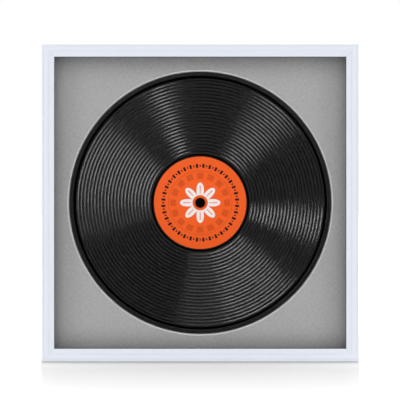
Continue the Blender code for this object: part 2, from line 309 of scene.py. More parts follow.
view_width = photo_pixels * pixel_size
camera_distance = view_width * lens / sensor
camera_data = bpy.data.cameras.new("photo_camera")
camera_data.lens = lens
camera_data.sensor_width = sensor
camera_data.clip_end = 100
camera = bpy.data.objects.new("photo_camera", camera_data)
bpy.context.scene.collection.objects.link(camera)
camera.location = ((photo_pixels / 2 - centre_pixel[0]) * pixel_size, front_y - camera_distance,
                   half_side + (centre_pixel[1] - photo_pixels / 2) * pixel_size)
camera.rotation_euler = (math.radians(90), 0, 0)
bpy.context.scene.camera = camera
bpy.context.scene.view_settings.view_transform = "Standard"


# Node building

class Field:
    """An output of a node. Arithmetic on it adds Math nodes to its tree."""

    def __init__(self, socket):
        self.socket = socket
        self.tree = socket.id_data

    def __add__(self, other):
        return calc("ADD", self, other)

    def __sub__(self, other):
        return calc("SUBTRACT", self, other)

    def __rsub__(self, other):
        return calc("SUBTRACT", other, self)

    def __mul__(self, other):
        return calc("MULTIPLY", self, other)

    def __truediv__(self, other):
        return calc("DIVIDE", self, other)

    def __rtruediv__(self, other):
        return calc("DIVIDE", other, self)

    def __lt__(self, other):
        return calc("LESS_THAN", self, other)

    def __gt__(self, other):
        return calc("GREATER_THAN", self, other)

    def __abs__(self):
        return calc("ABSOLUTE", self)


def fill(socket, value):
    """Give an input a plain value, or link an output to it."""
    if isinstance(value, Field):
        value = value.socket
    if isinstance(value, bpy.types.NodeSocket):
        socket.id_data.links.new(value, socket)
    elif socket.type == "RGBA":
        socket.default_value = (*value, 1)
    else:
        socket.default_value = value


def add(tree, kind, inputs=None, **settings):
    """Add a node, set it up, and fill its inputs."""
    node = tree.nodes.new(kind)
    for name, value in settings.items():
        setattr(node, name, value)
    for key, value in (inputs or {}).items():
        fill(node.inputs[key], value)
    return node


def result(tree, kind, inputs=None, output=0, **settings):
    """One output of a node that is added."""
    return Field(add(tree, kind, inputs, **settings).outputs[output])


def calc(operation, *values):
    """The result of a Math node."""
    tree = next(value.tree for value in values if isinstance(value, Field))
    return result(tree, "ShaderNodeMath", dict(enumerate(values)), operation=operation)


def largest(first, *others):
    """The largest of some values."""
    for other in others:
        first = calc("MAXIMUM", first, other)
    return first


def remap(value, low, high, to_low=0.0, to_high=1.0, smooth=False):
    """A value carried from one range to another, and kept inside it."""
    inputs = {"Value": value, "From Min": low, "From Max": high,
              "To Min": to_low, "To Max": to_high}
    kind = "SMOOTHSTEP" if smooth else "LINEAR"
    return result(value.tree, "ShaderNodeMapRange", inputs, interpolation_type=kind)


def grey(level):
    """A colour with no hue."""
    return (level, level, level)


def mix(factor, first, second):
    """Two colours mixed by a factor."""
    inputs = {0: factor, 6: first, 7: second}
    return result(factor.tree, "ShaderNodeMix", inputs, 2, data_type="RGBA")


def noise(place, scale, detail=2.0, roughness=0.5):
    """Soft noise between 0 and 1."""
    inputs = {"Vector": place, "Scale": scale, "Detail": detail, "Roughness": roughness}
    return result(place.tree, "ShaderNodeTexNoise", inputs)


def scattered(place, scale):
    """Cells round scattered points: the distance to a cell's point, and its own chance value."""
    cells = add(place.tree, "ShaderNodeTexVoronoi", {"Vector": place, "Scale": scale}).outputs
    chance = result(place.tree, "ShaderNodeSeparateColor", {0: cells["Color"]})
    return Field(cells["Distance"]), chance


def split(place):
    """The three coordinates of a place."""
    axes = add(place.tree, "ShaderNodeSeparateXYZ", {0: place}).outputs
    return [Field(axis) for axis in axes]


def joined(x, y, z=0.0):
    """A place from its coordinates."""
    return result(x.tree, "ShaderNodeCombineXYZ", {0: x, 1: y, 2: z})


def turned_and_stretched(place, turn, scale):
    """A place turned about the Y axis, then scaled along each axis."""
    inputs = {"Vector": place, "Angle": turn, "Axis": (0, 1, 0)}
    turned = result(place.tree, "ShaderNodeVectorRotate", inputs, rotation_type="AXIS_ANGLE")
    return result(place.tree, "ShaderNodeMapping", {"Vector": turned, "Scale": scale})


def light_paths(tree):
    """The kinds of ray, by name."""
    return {output.name: Field(output) for output in add(tree, "ShaderNodeLightPath").outputs}


def new_tree(kind, name, inputs):
    """A node group with its inputs: each has a kind, or a number that it starts from."""
    tree = bpy.data.node_groups.new(name, kind + "NodeTree")
    for label, value in inputs.items():
        is_kind = isinstance(value, str)
        socket_type = "NodeSocket" + (value if is_kind else "Float")
        socket = tree.interface.new_socket(label, in_out="INPUT", socket_type=socket_type)
        if not is_kind:
            socket.default_value = value
    given = tree.nodes.new("NodeGroupInput").outputs
    return tree, {output.name: Field(output) for output in given}


def closed_tree(tree, kind="Float", **results):
    """A node group with its results on its outputs."""
    for label in results:
        tree.interface.new_socket(label, in_out="OUTPUT", socket_type="NodeSocket" + kind)
    out = tree.nodes.new("NodeGroupOutput").inputs
    for label, value in results.items():
        fill(out[label], value)
    return tree


def placed(group, **inputs):
    """The outputs of a group placed in a material with its own values."""
    inputs = {key.capitalize(): value for key, value in inputs.items()}
    node = add(inputs["Place"].tree, "ShaderNodeGroup", inputs, node_tree=group)
    return {output.name: Field(output) for output in node.outputs}


def new_material(name, **sockets):
    """A material with plain values on its shader, and its Object coordinates."""
    material = bpy.data.materials.new(name)
    material.use_nodes = True
    shader = material.node_tree.nodes["Principled BSDF"]
    for key, value in sockets.items():
        shader.inputs[key.replace("_", " ")].default_value = value
    return material, result(material.node_tree, "ShaderNodeTexCoord", output="Object")


def finished(material, colour, roughness, height, strength, distance):
    """A material with its colour, its roughness and its relief."""
    tree = material.node_tree
    relief = {"Height": height, "Strength": strength, "Distance": distance}
    normal = result(tree, "ShaderNodeBump", relief)
    looks = {"Base Color": colour, "Roughness": roughness, "Normal": normal}
    for key, value in looks.items():
        fill(tree.nodes["Principled BSDF"].inputs[key], value)
    return material


def surfaced(material, share, first, second):
    """A material whose surface is two shaders mixed by a share, in place of its own."""
    tree = material.node_tree
    tree.nodes.remove(tree.nodes["Principled BSDF"])
    both = result(tree, "ShaderNodeMixShader", {0: share, 1: first, 2: second})
    fill(tree.nodes["Material Output"].inputs["Surface"], both)
    return material


# Effects that several materials share

def make_grain():
    """Wood grain: long fibres and pores, stretched along the first axis of the place."""
    inputs = {"Place": "Vector", "Fineness": 900.0, "Length": 12.0}
    tree, given = new_tree("Shader", "wood grain", inputs)
    stretch = joined(given["Length"], given["Fineness"], given["Fineness"])
    factors = {0: given["Place"], 1: stretch}
    place = result(tree, "ShaderNodeVectorMath", factors, operation="MULTIPLY")
    fibres = noise(place, 1.0, 4.0, 0.6)
    bands = noise(place, 0.12)
    pores = remap(noise(place, 2.3, 1.0), 0.62, 0.72)
    return closed_tree(tree, Tone=fibres * 0.55 + bands * 0.45, Height=fibres - pores)


def make_weave():
    """Linen cloth: threads over and under each other, with slubs and flecks, across X and Z."""
    tree, given = new_tree("Shader", "linen weave", {"Place": "Vector", "Pitch": 0.0008})
    place = given["Place"]
    per_metre = 1.0 / given["Pitch"]
    drift = result(tree, "ShaderNodeTexNoise", {"Vector": place, "Scale": 160.0}, output=1)
    wander = {0: drift, 1: grey(0.0006), 2: place}
    x, _, z = split(result(tree, "ShaderNodeVectorMath", wander, operation="MULTIPLY_ADD"))
    count_x, count_z = x * per_metre, z * per_metre
    parity = calc("MODULO", calc("FLOOR", count_x) + calc("FLOOR", count_z), 2.0)
    over = abs(parity) > 0.5
    tones = []
    heights = []
    for count, along, share in ((count_x, count_z, over), (count_z, count_x, 1.0 - over)):
        crown = abs(calc("SINE", count * math.pi))
        # each thread has its own slubs, which change slowly along it
        thread = joined(calc("FLOOR", count) * 0.73, along * 0.22)
        slub = noise(thread, 1.0, 2.0, 0.6)
        heights.append(crown * (share * 0.6 + slub))
        tones.append(slub * (share * 0.5 + 0.35))
    height = largest(*heights)
    fleck = noise(place, 430.0, 2.0, 0.7) - 0.5
    tone = tones[0] + tones[1] + height * 0.35 + fleck * 0.45
    return closed_tree(tree, Tone=tone, Height=height)


def make_fibres():
    """Short fibres lying every way, as in paper, card and pressed board."""
    tree, given = new_tree("Shader", "pressed fibres", {"Place": "Vector", "Fineness": 700.0})
    layers = []
    for turn, stretch in ((0.3, 5.0), (1.4, 4.0), (2.4, 6.0)):
        place = turned_and_stretched(given["Place"], turn, (1.0, 1.0, stretch))
        layers.append(noise(place, given["Fineness"], 3.0, 0.6))
    longest = largest(*layers)
    blotch = noise(given["Place"], 35.0, 3.0)
    return closed_tree(tree, Tone=longest * 0.7 + blotch * 0.3, Height=longest)


def make_specks():
    """Scattered specks, as of dust or flecks."""
    tree, given = new_tree("Shader", "specks", {"Place": "Vector", "Fineness": 500.0, "Size": 0.12})
    distance, chance = scattered(given["Place"], given["Fineness"])
    return closed_tree(tree, Mask=(distance < given["Size"]) * (chance > 0.7))


def make_rings():
    """Radius in metres and angle in turns about the stud, seen from the front."""
    tree, given = new_tree("Shader", "place about the stud", {"Place": "Vector"})
    x, _, z = split(given["Place"])
    up = z - half_side
    angle = calc("ARCTAN2", up, x) / (2 * math.pi)
    return closed_tree(tree, Radius=calc("SQRT", x * x + up * up), Angle=angle)


def make_scuffs():
    """Fine scratches and a broad cloudiness, as on handled metal, plastic and paint."""
    tree, given = new_tree("Shader", "scuffs", {"Place": "Vector", "Fineness": 600.0})
    scratches = []
    for turn in (0.5, 1.7, 2.6):
        place = turned_and_stretched(given["Place"], turn, (0.04, 1.0, 1.0))
        scratches.append(remap(noise(place, given["Fineness"], 1.0), 0.66, 0.72))
    cloud = noise(given["Place"], 90.0, 4.0, 0.6)
    return closed_tree(tree, Mask=largest(*scratches), Cloud=cloud)


wood_grain = make_grain()
linen_weave = make_weave()
pressed_fibres = make_fibres()
specks = make_specks()
rings = make_rings()
scuffs = make_scuffs()


# Finishes

def painted_wood(bare_from, bare_to):
    """Cool white satin paint over wood, which is bare in the rebate and at the rear."""
    material, place = new_material("cool white satin paint", IOR=1.45)
    uv = result(material.node_tree, "ShaderNodeUVMap", uv_map="grain")
    grain = placed(wood_grain, place=uv, fineness=1100.0, length=9.0)
    worn = placed(scuffs, place=place, fineness=500.0)
    across = split(uv)[1] + noise(place, 400.0, 3.0) * paint_ragged - paint_ragged / 2
    bare = (remap(across, bare_from, bare_from + paint_fade)
            * remap(across, bare_to, bare_to + paint_fade, 1.0, 0.0))
    paint = mix(remap(grain["Tone"], 0.3, 0.7), (0.752, 0.784, 0.858), (0.728, 0.760, 0.838))
    paint = mix(worn["Mask"] * 0.06, paint, (0.62, 0.64, 0.70))
    wood = mix(remap(grain["Tone"], 0.25, 0.75), (0.50, 0.34, 0.19), (0.66, 0.49, 0.31))
    rough = largest(remap(worn["Cloud"], 0.3, 0.7, 0.36, 0.46), bare * 0.8)
    height = noise(place, 700.0) * 0.35 + grain["Height"] * (bare + 0.15)
    return finished(material, mix(bare, paint, wood), rough, height, 0.35, 0.0001)


def linen_board():
    """Grey linen on the mount, with painted shade darkening it toward the lip, and its pale core at
    the cut.
    """
    material, place = new_material("grey linen on mount board", Specular_IOR_Level=0.2)
    cloth = placed(linen_weave, place=place, pitch=thread_pitch)
    core = placed(rings, place=place)["Radius"] < window_radius + mount_thickness - core_edge
    linen = mix(remap(cloth["Tone"], 0.25, 1.05), grey(0.294), grey(0.450))
    x, _, z = split(place)
    # painted shade: the linen darkens toward the lip, where the lip's shadow falls
    for offset, (width, lightness) in ((x, side_painted_shade), (z - half_side, end_painted_shade)):
        inward = sight_half - abs(offset)
        linen = mix(remap(inward, 0.0, width, lightness, 1.0, smooth=True), grey(0.0), linen)
    tint = placed(pressed_fibres, place=place, fineness=900.0)["Tone"]
    pale = mix(tint, (0.92, 0.92, 0.91), (0.98, 0.98, 0.97))
    rough = remap(cloth["Height"], 0.0, 1.5, 0.95, 0.8)
    height = cloth["Height"] * (1.0 - core)
    return finished(material, mix(core, linen, pale), rough, height, 0.5, 0.00012)


def pressed_vinyl():
    """Black vinyl: smoky, blacker in its ring lines, with fine grooving and a little dust."""
    material, place = new_material("black pressed vinyl", IOR=1.8)
    polar = placed(rings, place=place)
    radius = polar["Radius"]
    # fine grooving changes quickly across the record and slowly round it
    fine = noise(joined(radius * 2600.0, polar["Angle"] * 3.0), 1.0)
    dust = placed(specks, place=place, fineness=260.0, size=0.035)["Mask"]
    cloud = placed(scuffs, place=place)["Cloud"]
    step = calc("FRACT", (radius - first_ridge) / ridge_pitch + 0.5)
    offset = abs((step - 0.5) * ridge_pitch)
    half_line = line_width / 2
    line = remap(offset, half_line - line_fade, half_line + line_fade, 1.0, 0.0, smooth=True)
    bands = largest(radius > lead_in_start, radius < run_out_end)
    bead = radius > bead_start
    shoulder = (radius > lead_in_end) - bead
    black = mix(fine, (0.0078, 0.0078, 0.0080), (0.0108, 0.0108, 0.0110))
    black = mix(largest(line, bands), black, grey(0.0006))
    black = mix(bead, black, (0.0088, 0.0088, 0.0090))
    black = mix(dust * 0.12, black, grey(0.10))
    rough = remap(cloud, 0.3, 0.7, 0.28, 0.31) - line * 0.13 + dust * 0.15
    return finished(material, black, largest(rough, shoulder * 0.8), fine, 0.02, 0.00002)


def printed_label():
    """Orange label paper with a rosette, darker bars, a hoop and a ring of black ticks."""
    material, place = new_material("printed orange label", Specular_IOR_Level=0.10)
    polar = placed(rings, place=place)
    radius, angle = polar["Radius"], polar["Angle"]
    paper = placed(pressed_fibres, place=place, fineness=1400.0)

    def band(radii, soft=print_edge):
        """A ring between two radii."""
        inner, outer = radii
        return (remap(radius, inner - soft, inner + soft)
                * remap(radius, outer - soft, outer + soft, 1.0, 0.0))

    def spokes(count, share, shift=0.0):
        """Spokes round the label, each a share of its step wide."""
        middle = abs(calc("FRACT", angle * count + shift) - 0.5)
        return remap(middle, share / 2 - spoke_edge, share / 2 + spoke_edge, 1.0, 0.0)

    wave = abs(calc("COSINE", angle * (petal_count * math.pi)))
    petal_edge = remap(wave, 0.0, 1.0, petal_valley, petal_reach) - radius
    petals = remap(petal_edge, -print_edge, print_edge)
    heart = remap(radius, heart_radius - print_edge, heart_radius + print_edge, 1.0, 0.0)
    veins = spokes(petal_count, 0.08, 0.5) * band(vein_radii)
    rosette = petals * (1.0 - largest(heart, veins))
    bars = spokes(bar_count, 0.62, 0.5) * band(bar_radii)
    ticks = largest(spokes(tick_count, 0.34) * band(long_tick_radii),
                    spokes(tick_count, 0.20, 0.5) * band(short_tick_radii))
    ink = mix(remap(paper["Tone"], 0.3, 0.8), (0.930, 0.114, 0.017), (0.975, 0.135, 0.0215))
    ink = mix(largest(bars, band(hoop_radii)), ink, (0.720, 0.090, 0.0145))
    ink = mix(ticks, ink, (0.012, 0.011, 0.012))
    ink = mix(rosette, ink, (0.88, 0.87, 0.85))
    rough = remap(paper["Tone"], 0.3, 0.8, 0.85, 0.72)
    height = paper["Height"] * 0.25 - band(press_mark_radii, press_mark_edge)
    return finished(material, ink, rough, height, 0.3, 0.0001)


def zinc_plate():
    """Bright zinc plate on steel, with cloudy crystals and fine scratches."""
    material, place = new_material("bright zinc plate", Metallic=1.0)
    _, shade = scattered(place, 1400.0)
    worn = placed(scuffs, place=place, fineness=1800.0)
    tone = shade * 0.25 + worn["Cloud"] * 0.75
    colour = mix(remap(tone, 0.25, 0.75), (0.50, 0.52, 0.55), (0.68, 0.69, 0.70))
    colour = mix(worn["Mask"] * 0.5, colour, grey(0.80))
    rough = remap(tone, 0.25, 0.75, 0.40, 0.24)
    return finished(material, colour, rough, shade - worn["Mask"], 0.12, 0.00003)


def card(name, dark, light, rough, fineness, relief=0.3):
    """Card or board of one colour, with its fibres and flecks."""
    material, place = new_material(name, Specular_IOR_Level=0.25)
    fibres = placed(pressed_fibres, place=place, fineness=fineness)
    flecks = placed(specks, place=place, fineness=fineness * 0.5, size=0.16)["Mask"]
    colour = mix(remap(fibres["Tone"], 0.35, 0.75), dark, light)
    colour = mix(flecks * 0.5, colour, tuple(0.55 * value for value in dark))
    roughness = remap(fibres["Tone"], 0.3, 0.8, rough, rough - 0.12)
    return finished(material, colour, roughness, fibres["Height"], relief, 0.0001)


def corrugated_board():
    """Brown corrugated card, its flutes telling faintly through the liner."""
    material, place = new_material("corrugated card", Specular_IOR_Level=0.2)
    fibres = placed(pressed_fibres, place=place, fineness=500.0)
    flutes = calc("SINE", split(place)[0] * (2 * math.pi / flute_pitch))
    colour = mix(remap(fibres["Tone"], 0.35, 0.75), (0.34, 0.22, 0.12), (0.50, 0.35, 0.21))
    colour = mix(remap(flutes, -1.0, 1.0, 0.0, 0.12), colour, (0.26, 0.17, 0.09))
    rough = remap(fibres["Tone"], 0.3, 0.8, 0.92, 0.8)
    return finished(material, colour, rough, flutes + fibres["Height"], 0.3, 0.0002)


def moulded(name, dark, light, rough, shine=0.5):
    """Moulded plastic or rubber with a fine eroded texture and a few scuffs."""
    material, place = new_material(name, IOR=1.45, Specular_IOR_Level=shine)
    spark = noise(place, 2200.0, 3.0, 0.65)
    worn = placed(scuffs, place=place, fineness=900.0)["Mask"]
    roughness = remap(spark, 0.3, 0.7, rough - 0.05, rough + 0.05) + worn * 0.08
    return finished(material, mix(spark, dark, light), roughness, spark, 0.2, 0.00004)


def clear_sheet():
    """Clear sheet with a coating against reflections and a trace of dust."""
    material, place = new_material("clear coated acrylic")
    tree = material.node_tree
    dust = placed(specks, place=place, fineness=180.0, size=0.03)["Mask"]
    clear = result(tree, "ShaderNodeBsdfTransparent", {"Color": grey(1.0)})
    gloss = result(tree, "ShaderNodeBsdfGlossy", {"Roughness": remap(dust, 0.0, 1.0, 0.03, 0.4)})
    return surfaced(material, result(tree, "ShaderNodeFresnel", {"IOR": 1.06}), clear, gloss)


# Outlines and solids

def arc(across, up, radius, start, end, steps):
    """Points of an arc about a centre, between two angles in degrees."""
    angles = [math.radians(start + (end - start) * step / steps) for step in range(steps + 1)]
    return [(across + radius * math.cos(angle), up + radius * math.sin(angle)) for angle in angles]


def round_hole(radius, steps=hole_segments, up=0.0):
    """A full circle, without its last point twice."""
    return arc(0, up, radius, 0, 360, steps)[:-1]


def square(half):
    """A square about the centre."""
    return [(-half, -half), (half, -half), (half, half), (-half, half)]


def looped(items):
    """Each item with the one after it, and the last with the first."""
    return zip(items, items[1:] + items[:1])


def add_plate(bm, outline, near, far, holes=()):
    """Add a plate: an outline in X and Z with holes in it, between two depths."""
    edges = []
    for loop in (outline, *holes):
        corners = [bm.verts.new((x, near, z)) for x, z in loop]
        edges += [bm.edges.new(pair) for pair in looped(corners)]
    filled = bmesh.ops.triangle_fill(bm, use_beauty=True, edges=edges)["geom"]
    faces = [item for item in filled if isinstance(item, bmesh.types.BMFace)]
    raised = bmesh.ops.extrude_face_region(bm, geom=faces)["geom"]
    corners = [item for item in raised if isinstance(item, bmesh.types.BMVert)]
    bmesh.ops.translate(bm, verts=corners, vec=(0, far - near, 0))


def add_wall(bm, near, far):
    """Add the faces that join two loops of corners."""
    for (a, b), (c, d) in zip(looped(near), looped(far)):
        bm.faces.new((a, b, d, c))


def soften(bm, offset, segments):
    """Round the sharp edges of a plate, with its faces outward."""
    bmesh.ops.recalc_face_normals(bm, faces=bm.faces)
    rim = [edge for edge in bm.edges
           if len(edge.link_faces) == 2 and edge.calc_face_angle() > math.radians(bend_angle)]
    bmesh.ops.bevel(bm, geom=rim, offset=offset, segments=segments, profile=0.5, affect="EDGES")


def shaded(mesh, sharp):
    """A mesh shaded smooth up to an angle in degrees."""
    mesh.shade_smooth()
    mesh.set_sharp_from_angle(angle=math.radians(sharp))
    return mesh


def mesh_of(bm, name, sharp=smooth_angle):
    """A mesh from a finished form, with its faces outward."""
    bmesh.ops.recalc_face_normals(bm, faces=bm.faces)
    mesh = bpy.data.meshes.new(name)
    bm.to_mesh(mesh)
    bm.free()
    return shaded(mesh, sharp)


def host(name, data):
    """An object that holds a mesh, a curve or a lamp."""
    piece = bpy.data.objects.new(name, data)
    bpy.context.scene.collection.objects.link(piece)
    return piece


def baked(piece, sharp=smooth_angle):
    """The plain mesh that an object and its modifiers make. The object itself is removed."""
    evaluated = piece.evaluated_get(bpy.context.evaluated_depsgraph_get())
    mesh = bpy.data.meshes.new_from_object(evaluated)
    bpy.data.objects.remove(piece)
    return shaded(mesh, sharp)


def carved(mesh, tool_mesh, crossing=False):
    """A mesh with a tool's form cut out of it. The tool may cross itself."""
    piece, tool = host("carved_form", mesh), host("carving_tool", tool_mesh)
    cut = piece.modifiers.new("cut", "BOOLEAN")
    cut.operation = "DIFFERENCE"
    cut.use_self = crossing
    cut.object = tool
    mesh = baked(piece)
    bpy.data.objects.remove(tool)
    return mesh


def grown(piece, tree, sharp=smooth_angle, **inputs):
    """The mesh that geometry nodes make of an object, their inputs set by socket identifier."""
    modifier = piece.modifiers.new(tree.name, "NODES")
    modifier.node_group = tree
    for item in tree.interface.items_tree:
        value = inputs.get(item.name.lower().replace(" ", "_"))
        if value is not None:
            modifier[item.identifier] = value
    return baked(piece, sharp)


def moved(mesh, place, turn=0):
    """A mesh turned about its Y axis by some degrees, then carried to its place."""
    mesh.transform(Matrix.Translation(place) @ Matrix.Rotation(math.radians(turn), 4, "Y"))
    return mesh


def at_centre(y):
    """The place on the stud's axis at a depth."""
    return Vector((0, y, half_side))


def show(name, mesh, material, body, slot, *replaced):
    """A finished piece: its mesh already in place, riding on a body and standing for CAD nodes."""
    mesh.materials.clear()
    mesh.materials.append(material)
    piece = host(name, mesh)
    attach(piece, body)
    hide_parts(*replaced)


def dress(material, *names):
    """Give carried CAD nodes their finish."""
    for name in names:
        node = nodes[name]
        if not node.material_slots:
            node.data.materials.append(material)
        for slot in node.material_slots:
            slot.material = material


def plain_tree(tree, geometry, finish):
    """A geometry tree closed with plain geometry that has its finish."""
    plain = result(tree, "GeometryNodeRealizeInstances", {0: geometry})
    form = result(tree, "GeometryNodeSetMaterial", {"Geometry": plain, "Material": finish})
    return closed_tree(tree, "Geometry", Form=form)


def make_turned_form():
    """Geometry nodes that turn a closed section about an axis: X is the radius and Y the depth."""
    inputs = {"Section": "Geometry", "Segments": "Int", "Core Radius": "Float",
              "Weld Distance": "Float", "Finish": "Material"}
    tree, given = new_tree("Geometry", "turned form", inputs)
    section = result(tree, "GeometryNodeMeshToCurve", {0: given["Section"]})
    path = result(tree, "GeometryNodeCurvePrimitiveCircle",
                  {"Resolution": given["Segments"], "Radius": given["Core Radius"]})
    swept = result(tree, "GeometryNodeCurveToMesh", {"Curve": path, "Profile Curve": section})
    welded = result(tree, "GeometryNodeMergeByDistance",
                    {"Geometry": swept, "Distance": given["Weld Distance"]})
    return plain_tree(tree, welded, given["Finish"])


turned_form = make_turned_form()


def turned_mesh(name, section, segments, material, sharp=smooth_angle):
    """A form turned about Y from a closed section of radius and depth, facing outward."""
    bm = bmesh.new()
    corners = [bm.verts.new((radius - core_radius, depth, 0)) for radius, depth in section]
    for pair in looped(corners):
        bm.edges.new(pair)
    line = bpy.data.meshes.new(name + "_section")
    bm.to_mesh(line)
    bm.free()
    mesh = grown(host(name + "_section", line), turned_form, sharp, segments=segments,
                 core_radius=core_radius, weld_distance=weld, finish=material)
    mesh.transform(Matrix.Rotation(math.radians(90), 4, "X"))
    bm = bmesh.new()
    bm.from_mesh(mesh)
    bmesh.ops.remove_doubles(bm, verts=bm.verts, dist=weld)
    bmesh.ops.dissolve_degenerate(bm, dist=weld / 10, edges=bm.edges)
    bpy.data.meshes.remove(mesh)
    return mesh_of(bm, name, sharp)


# Moulding

def rail_section():
    """A rail's section, inward from its outer face and back, and where its bare wood starts."""
    crown_start = outer_fillet_width + step_run + groove_width
    step_start = crown_start + crown_width
    sight_depth = band_depth + inner_band_fall + sight_edge_radius
    points = arc(outer_edge_radius, outer_edge_radius, outer_edge_radius, 180, 270, edge_steps)
    points += [(outer_fillet_width, 0), (outer_fillet_width + step_run, crown_depth + groove_depth)]
    for step in range(crown_steps + 1):
        share = step / crown_steps
        crest = 1 - (2 * share - 1) ** 2
        points.append((crown_start + crown_width * share, crown_depth - crown_rise * crest))
    points.append((step_start + step_run, band_depth + groove_depth))
    points.append((step_start + step_run + groove_width, band_depth))
    points += arc(face_width - sight_edge_radius, sight_depth, sight_edge_radius,
                  270, 360, edge_steps)
    bare_start = len(points)
    points += [(face_width, lip_depth), (wall_width, lip_depth)]
    points += [(wall_width, rail_depth - rear_arris), (wall_width - rear_arris, rail_depth)]
    points += [(rear_arris, rail_depth), (0, rail_depth - rear_arris)]
    return points, bare_start


def girth(points):
    """The distance round a section at each of its points, and back at its start."""
    lengths = [0.0]
    for start, end in looped(points):
        lengths.append(lengths[-1] + math.dist(start, end))
    return lengths


rail_points, bare_index = rail_section()
rail_girth = girth(rail_points)


def nail_outline(corner):
    """The L outline of the slot for a corner nail, at the left or the right end of a rail."""
    middle = half_side - wall_width / 2
    near = middle + nail_thickness / 2 + seat_gap
    far = middle - nail_thickness / 2 - seat_gap
    tip = middle - nail_leg - seat_gap
    points = [(near, near), (tip, near), (tip, far), (far, far), (far, tip), (near, tip)]
    return [(corner * x, -z) for x, z in points]


def rail_mesh(side):
    """One mitred rail with its grain running along it, slotted at the rear for the corner nails."""
    bm = bmesh.new()
    grain = bm.loops.layers.uv.new("grain")
    ends = []
    for direction in (-1, 1):
        reach = half_side - mitre_gap / 2
        ends.append([bm.verts.new((direction * (reach - inward), depth, inward - half_side))
                     for inward, depth in rail_points])
        bm.faces.new(ends[-1])
    strips = zip(looped(ends[0]), looped(ends[1]), rail_girth, rail_girth[1:])
    for (left, next_left), (right, next_right), start, end in strips:
        face = bm.faces.new((left, next_left, next_right, right))
        for loop, across in zip(face.loops, (start, end, end, start)):
            loop[grain].uv = (loop.vert.co.x, across)
    slots = bmesh.new()
    for corner in (-1, 1):
        add_plate(slots, nail_outline(corner), rail_depth - nail_height - 2 * seat_gap,
                  rail_depth + mitre_gap)
    rail = carved(mesh_of(bm, "rail_form"), mesh_of(slots, "rail_slots"))
    turned = Matrix.Rotation(math.radians(side_turns[side]), 4, "Y")
    rail.transform(Matrix.Translation(at_centre(front_y)) @ turned)
    return rail


paint = painted_wood(rail_girth[bare_index], rail_girth[-2])
for side in side_turns:
    show("moulding_" + side, rail_mesh(side), paint, "frame", "white_paint", "rail_" + side)


# Mount, and the black strip of painted shade at the lip

def mount_mesh():
    """The mount with its round window, cut at 45 degrees so that the core shows."""
    low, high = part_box("window_mount")
    bm = bmesh.new()
    window = round_hole(window_radius, window_segments)
    add_plate(bm, square(board_half), 0, high.y - low.y, [window])
    flare = (window_radius + mount_thickness) / window_radius
    for corner in bm.verts:
        if corner.co.y == 0 and corner.co.length < board_half:
            corner.co *= flare
    return moved(mesh_of(bm, "linen_mount"), at_centre(low.y))


def shade_strip_mesh():
    """A thin black strip round the front of the glazing's rim, just proud of the lip: painted
    shade.
    """
    glazing_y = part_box("glazing")[0].y
    bm = bmesh.new()
    add_plate(bm, square(board_half - shade_strip_inset), glazing_y - shade_strip_thickness, glazing_y - shade_strip_gap,
              [square(sight_half - shade_strip_show)])
    return moved(mesh_of(bm, "glazing_tape"), centre)


charcoal = card("charcoal card", (0.030, 0.030, 0.033), (0.062, 0.062, 0.067),
                rough=0.95, fineness=900.0)
# painted shade: black card for the strip that stands in for the shade beside the lip
shade_strip_card = card("black card for painted shade", (0.010, 0.010, 0.011), (0.022, 0.022, 0.024),
                  rough=0.9, fineness=1200.0)
show("linen_mount", mount_mesh(), linen_board(), "frame", "grey_mount", "window_mount")
show("glazing_tape", shade_strip_mesh(), shade_strip_card, "frame", "charcoal_card")


# Record

def dark_grooves(start, end, start_depth, end_depth):
    """Close steep grooves that hold no light, between two radii."""
    count = round((end - start) / dark_groove_pitch)
    points = []
    for half_step in range(1, 2 * count):
        share = half_step / (2 * count)
        floor_depth = dark_groove_depth if half_step % 2 else 0
        depth = start_depth + (end_depth - start_depth) * share
        points.append((start + (end - start) * share, depth + floor_depth))
    return points


def ring_line(middle):
    """One ring line: fine teeth, each with a face that leans inward and one that leans outward."""
    rise = inward_run * math.tan(math.radians(inward_slope))
    fall = outward_run * math.tan(math.radians(outward_slope))
    radius = middle - line_width / 2
    depth = land_recess
    points = [(radius, depth)]
    for _ in range(teeth):
        radius += inward_run
        depth -= rise
        points.append((radius, depth))
        radius += outward_run
        depth += fall
        points.append((radius, depth))
    points[-1] = (middle + line_width / 2, land_recess)
    return points


def record_section():
    """The record's section: radius and depth behind its front, from the hole out and back."""
    points = [(spindle_hole_radius, land_recess), (well_radius, land_recess), (well_radius, 0)]
    points.append((run_out_start, 0))
    points += dark_grooves(run_out_start, run_out_end, 0, land_recess)
    points.append((run_out_end, land_recess))
    for ridge in reversed(range(ridge_count)):
        points += ring_line(first_ridge - ridge * ridge_pitch)
    points.append((lead_in_start, land_recess))
    points += dark_grooves(lead_in_start, lead_in_end, land_recess, land_recess)
    points += [(lead_in_end, land_recess), (bead_start, 0)]
    edge_middle = record_radius - record_edge_radius
    for depth, angle in ((record_edge_radius, 270), (record_thickness - record_edge_radius, 0)):
        points += arc(edge_middle, depth, record_edge_radius, angle, angle + 90, record_edge_steps)
    points += [(bead_start, record_thickness), (lead_in_end, record_thickness - land_recess)]
    points += [(run_out_end, record_thickness - land_recess), (run_out_start, record_thickness)]
    points += [(well_radius, record_thickness), (well_radius, record_thickness - land_recess)]
    points.append((spindle_hole_radius, record_thickness - land_recess))
    return points


def label_section():
    """A label's section, with its edge just broken."""
    inner_edge = label_radius - label_edge
    return [(spindle_hole_radius, 0), (inner_edge, 0), (label_radius, label_edge),
            (label_radius, label_thickness - label_edge), (inner_edge, label_thickness),
            (spindle_hole_radius, label_thickness)]


def stud_section(length):
    """The stud's section, with a low crown and a rolled edge on its head."""
    shank = spindle_hole_radius - fit_play
    points = [(radius, stud_crown * share) for radius, share in stud_crown_line]
    points += arc(stud_head_radius - stud_edge, stud_crown + stud_edge, stud_edge,
                  270, 360, corner_steps)
    points += [(stud_head_radius, stud_head_thickness), (shank, stud_head_thickness)]
    points += [(shank, length - stud_edge), (shank - stud_edge, length), (0, length)]
    return points


